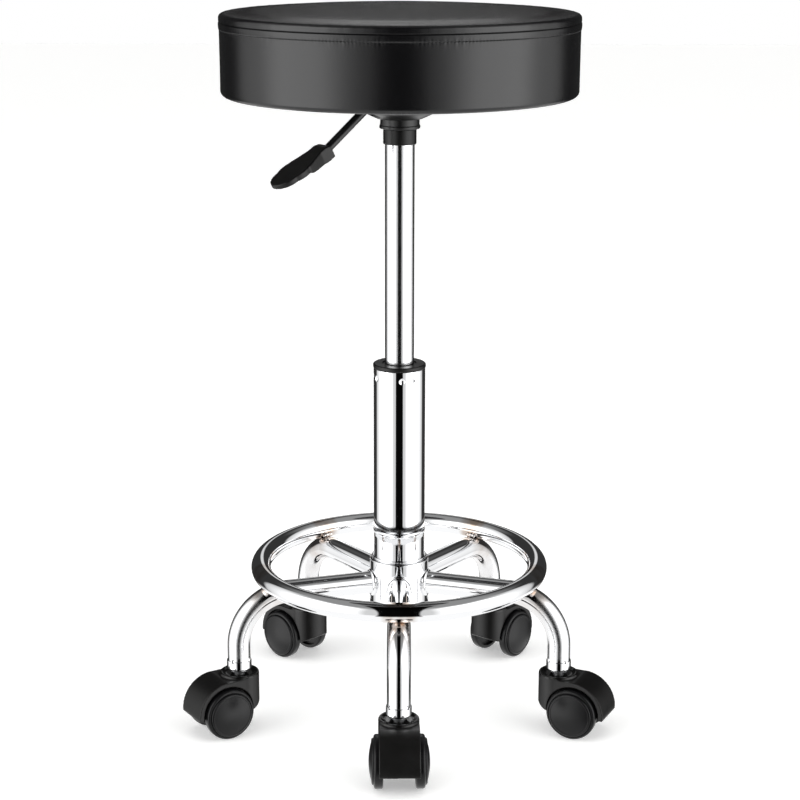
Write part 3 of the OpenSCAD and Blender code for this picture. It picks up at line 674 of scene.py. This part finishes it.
def make_topstitch():
    """Thread stitches in a row under the seam."""
    length, thick = 2.5 * MM, 0.34 * MM
    r, z = seat_r - 0.62 * MM, stitch_z
    vertices, faces = [], []
    sides, rings = 6, [(-0.5, 0.35), (-0.38, 0.9), (0.0, 1.0), (0.38, 0.9), (0.5, 0.35)]
    for k in range(STITCH_COUNT):
        angle = 2 * math.pi * (k + 0.5) / STITCH_COUNT
        out = Vector((math.cos(angle), math.sin(angle), 0))
        side = Vector((-math.sin(angle), math.cos(angle), 0.05))
        base = len(vertices)
        middle = Vector((column.x, column.y, z)) + out * r
        for t, size in rings:
            for s in range(sides):
                turn = 2 * math.pi * s / sides
                sink = -2.0 * (t * t) * thick
                spoke = out * (sink + thick * size * math.cos(turn))
                spoke += Vector((0, 0, thick * size * math.sin(turn)))
                vertices.append(middle + side * (t * length) + spoke)
        for j in range(len(rings) - 1):
            for s in range(sides):
                n = (s + 1) % sides
                a = base + j * sides
                faces.append((a + s, a + n, a + sides + n, a + sides + s))
        faces.append(tuple(base + s for s in reversed(range(sides))))
        faces.append(tuple(base + (len(rings) - 1) * sides + s for s in range(sides)))
    stitches = new_object("seat_topstitch", vertices, faces, thread)
    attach(stitches, "seat")


def make_lining():
    """Thin cloth under the board, from the bell to the hem, drawn tight with faint radial creases."""
    low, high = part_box("dust_cover")
    inner = 50.5 * MM
    outer = (high.x - low.x) / 2 + 1 * MM
    outline = [Vector((r, low.z + 0.7 * MM)) for r in np.linspace(outer, inner, 24)]
    outline += [Vector((r, low.z + 0.3 * MM)) for r in np.linspace(inner, outer, 24)]

    def shape(angle, r, z):
        turn = Vector((math.cos(angle), math.sin(angle), 0))
        share = (r - inner) / (outer - inner)
        crease = noise.noise(turn * 9 + Vector((0, 0, r * 12))) * 0.25 * MM * share
        return r, z + crease

    cloth = lathe("seat_lining", outline, lining, 256, column, closed=True, shape=shape)
    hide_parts("dust_cover")
    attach(cloth, "seat")


def make_staples():
    """Staples that hold the hem of the side band on the board."""
    crown_w, wire = 10 * MM, 0.35 * MM
    r, z = seat_r - 9.5 * MM, seat_bottom + 0.35 * MM
    for k in range(STAPLE_COUNT):
        angle = 2 * math.pi * (k + 0.5) / STAPLE_COUNT
        out = Vector((math.cos(angle), math.sin(angle), 0))
        side = Vector((-math.sin(angle), math.cos(angle), 0))
        middle = Vector((column.x, column.y, z)) + out * r
        drop = Vector((0, 0, 1.2 * MM))
        path = [middle - side * crown_w / 2 + drop, middle - side * crown_w / 2,
                middle + side * crown_w / 2, middle + side * crown_w / 2 + drop]
        staple = along(f"staple_{k + 1}", path, wire, zinc, 8)
        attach(staple, "seat")


# ---------- welds ----------


def make_ring_welds():
    """A small lumpy weld bead in the crease between each leg and the inside of the foot ring."""
    half, thick, rings, sides = 6.0 * MM, 2.9 * MM, 14, 14
    radius, height = ring_r - 9.5 * MM, ring_z - 4.2 * MM
    vertices, faces = [], []
    for k in leg_numbers:
        angle = math.radians((k - 1) * 72)
        out = Vector((math.sin(angle), -math.cos(angle), 0))
        side = Vector((math.cos(angle), math.sin(angle), 0))
        middle = Vector((column.x, column.y, height)) + out * radius
        base = len(vertices)
        for j in range(rings):
            t = -0.98 + 1.96 * j / (rings - 1)
            size = thick * math.sqrt(1 - t * t) * (1 + 0.13 * math.sin(11 * t + k))
            bow = -out * (1.4 * MM * t * t)
            for s in range(sides):
                turn = 2 * math.pi * s / sides
                spoke = out * math.cos(turn) + Vector((0, 0, math.sin(turn)))
                vertices.append(middle + side * (half * t) + bow + spoke * size)
        for j in range(rings - 1):
            for s in range(sides):
                n = (s + 1) % sides
                a = base + j * sides
                faces.append((a + s, a + n, a + sides + n, a + sides + s))
        faces.append(tuple(base + s for s in reversed(range(sides))))
        faces.append(tuple(base + (rings - 1) * sides + s for s in range(sides)))
    beads = new_object("ring_weld_beads", vertices, faces, tinted_chrome)
    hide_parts("ring_welds")
    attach(beads, "base")


# ---------- casters ----------


def wheel_outline():
    """Half section of a wheel: radius from the axle, and distance from the caster's middle plane."""
    corners = [
        (0, 22.8, 0), (2.6, 22.8, 0), (2.6, 15.0, 0), (7.5, 15.0, 0.4), (7.5, 19.5, 0.4), (21.0, 19.5, 0.6),
        (21.2, 15.0, 0.4), (25.0, 15.0, 1.6), (25.0, 23.5, 2.4), (22.5, 23.7, 0.3), (22.2, 22.9, 0.2),
        (21.8, 22.9, 0.2), (21.4, 25.2, 1.3), (19.6, 25.9, 0.4), (19.3, 25.5, 0.2), (18.9, 25.6, 0.2)]
    outline = fillet([(r * MM, h * MM, size * MM) for r, h, size in corners], 5)
    edge_r, edge_h, top_h = 18.9, 25.6, 28.3
    for step in range(1, 13):
        r = edge_r * (1 - step / 12)
        rise = 1 - (r / edge_r) ** 2
        outline.append(Vector((r * MM, (edge_h + (top_h - edge_h) * rise) * MM)))
    return outline


def make_wheels():
    """Ten moulded wheels: rounded tread, groove, and a domed cap with a rim and a fine ring."""
    outline = wheel_outline()
    for k in leg_numbers:
        for letter, side in (("a", -1), ("b", 1)):
            joint = joints[f"wheel_{k}{letter}_spin"]
            outward = Vector(joint["axis"]) * side
            wheel = lathe(f"wheel_{k}{letter}_moulded", outline, wheel_plastic, 128)
            turned = outward.to_track_quat("Z", "Y").to_matrix().to_4x4()
            wheel.data.transform(Matrix.Translation(joint["pos_m"]) @ turned)
            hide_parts(f"wheel_{k}{letter}")
            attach(wheel, f"wheel_{k}{letter}")


finish_cad_nodes()
round_moulded_parts()
make_camera()
make_world()
make_floor()
make_light()
pad_tree = simulate_pad()
make_seat_top()
make_seat_band()
make_topstitch()
make_lining()
make_staples()
make_ring_welds()
make_wheels()

bpy.context.scene.view_settings.view_transform = "Standard"
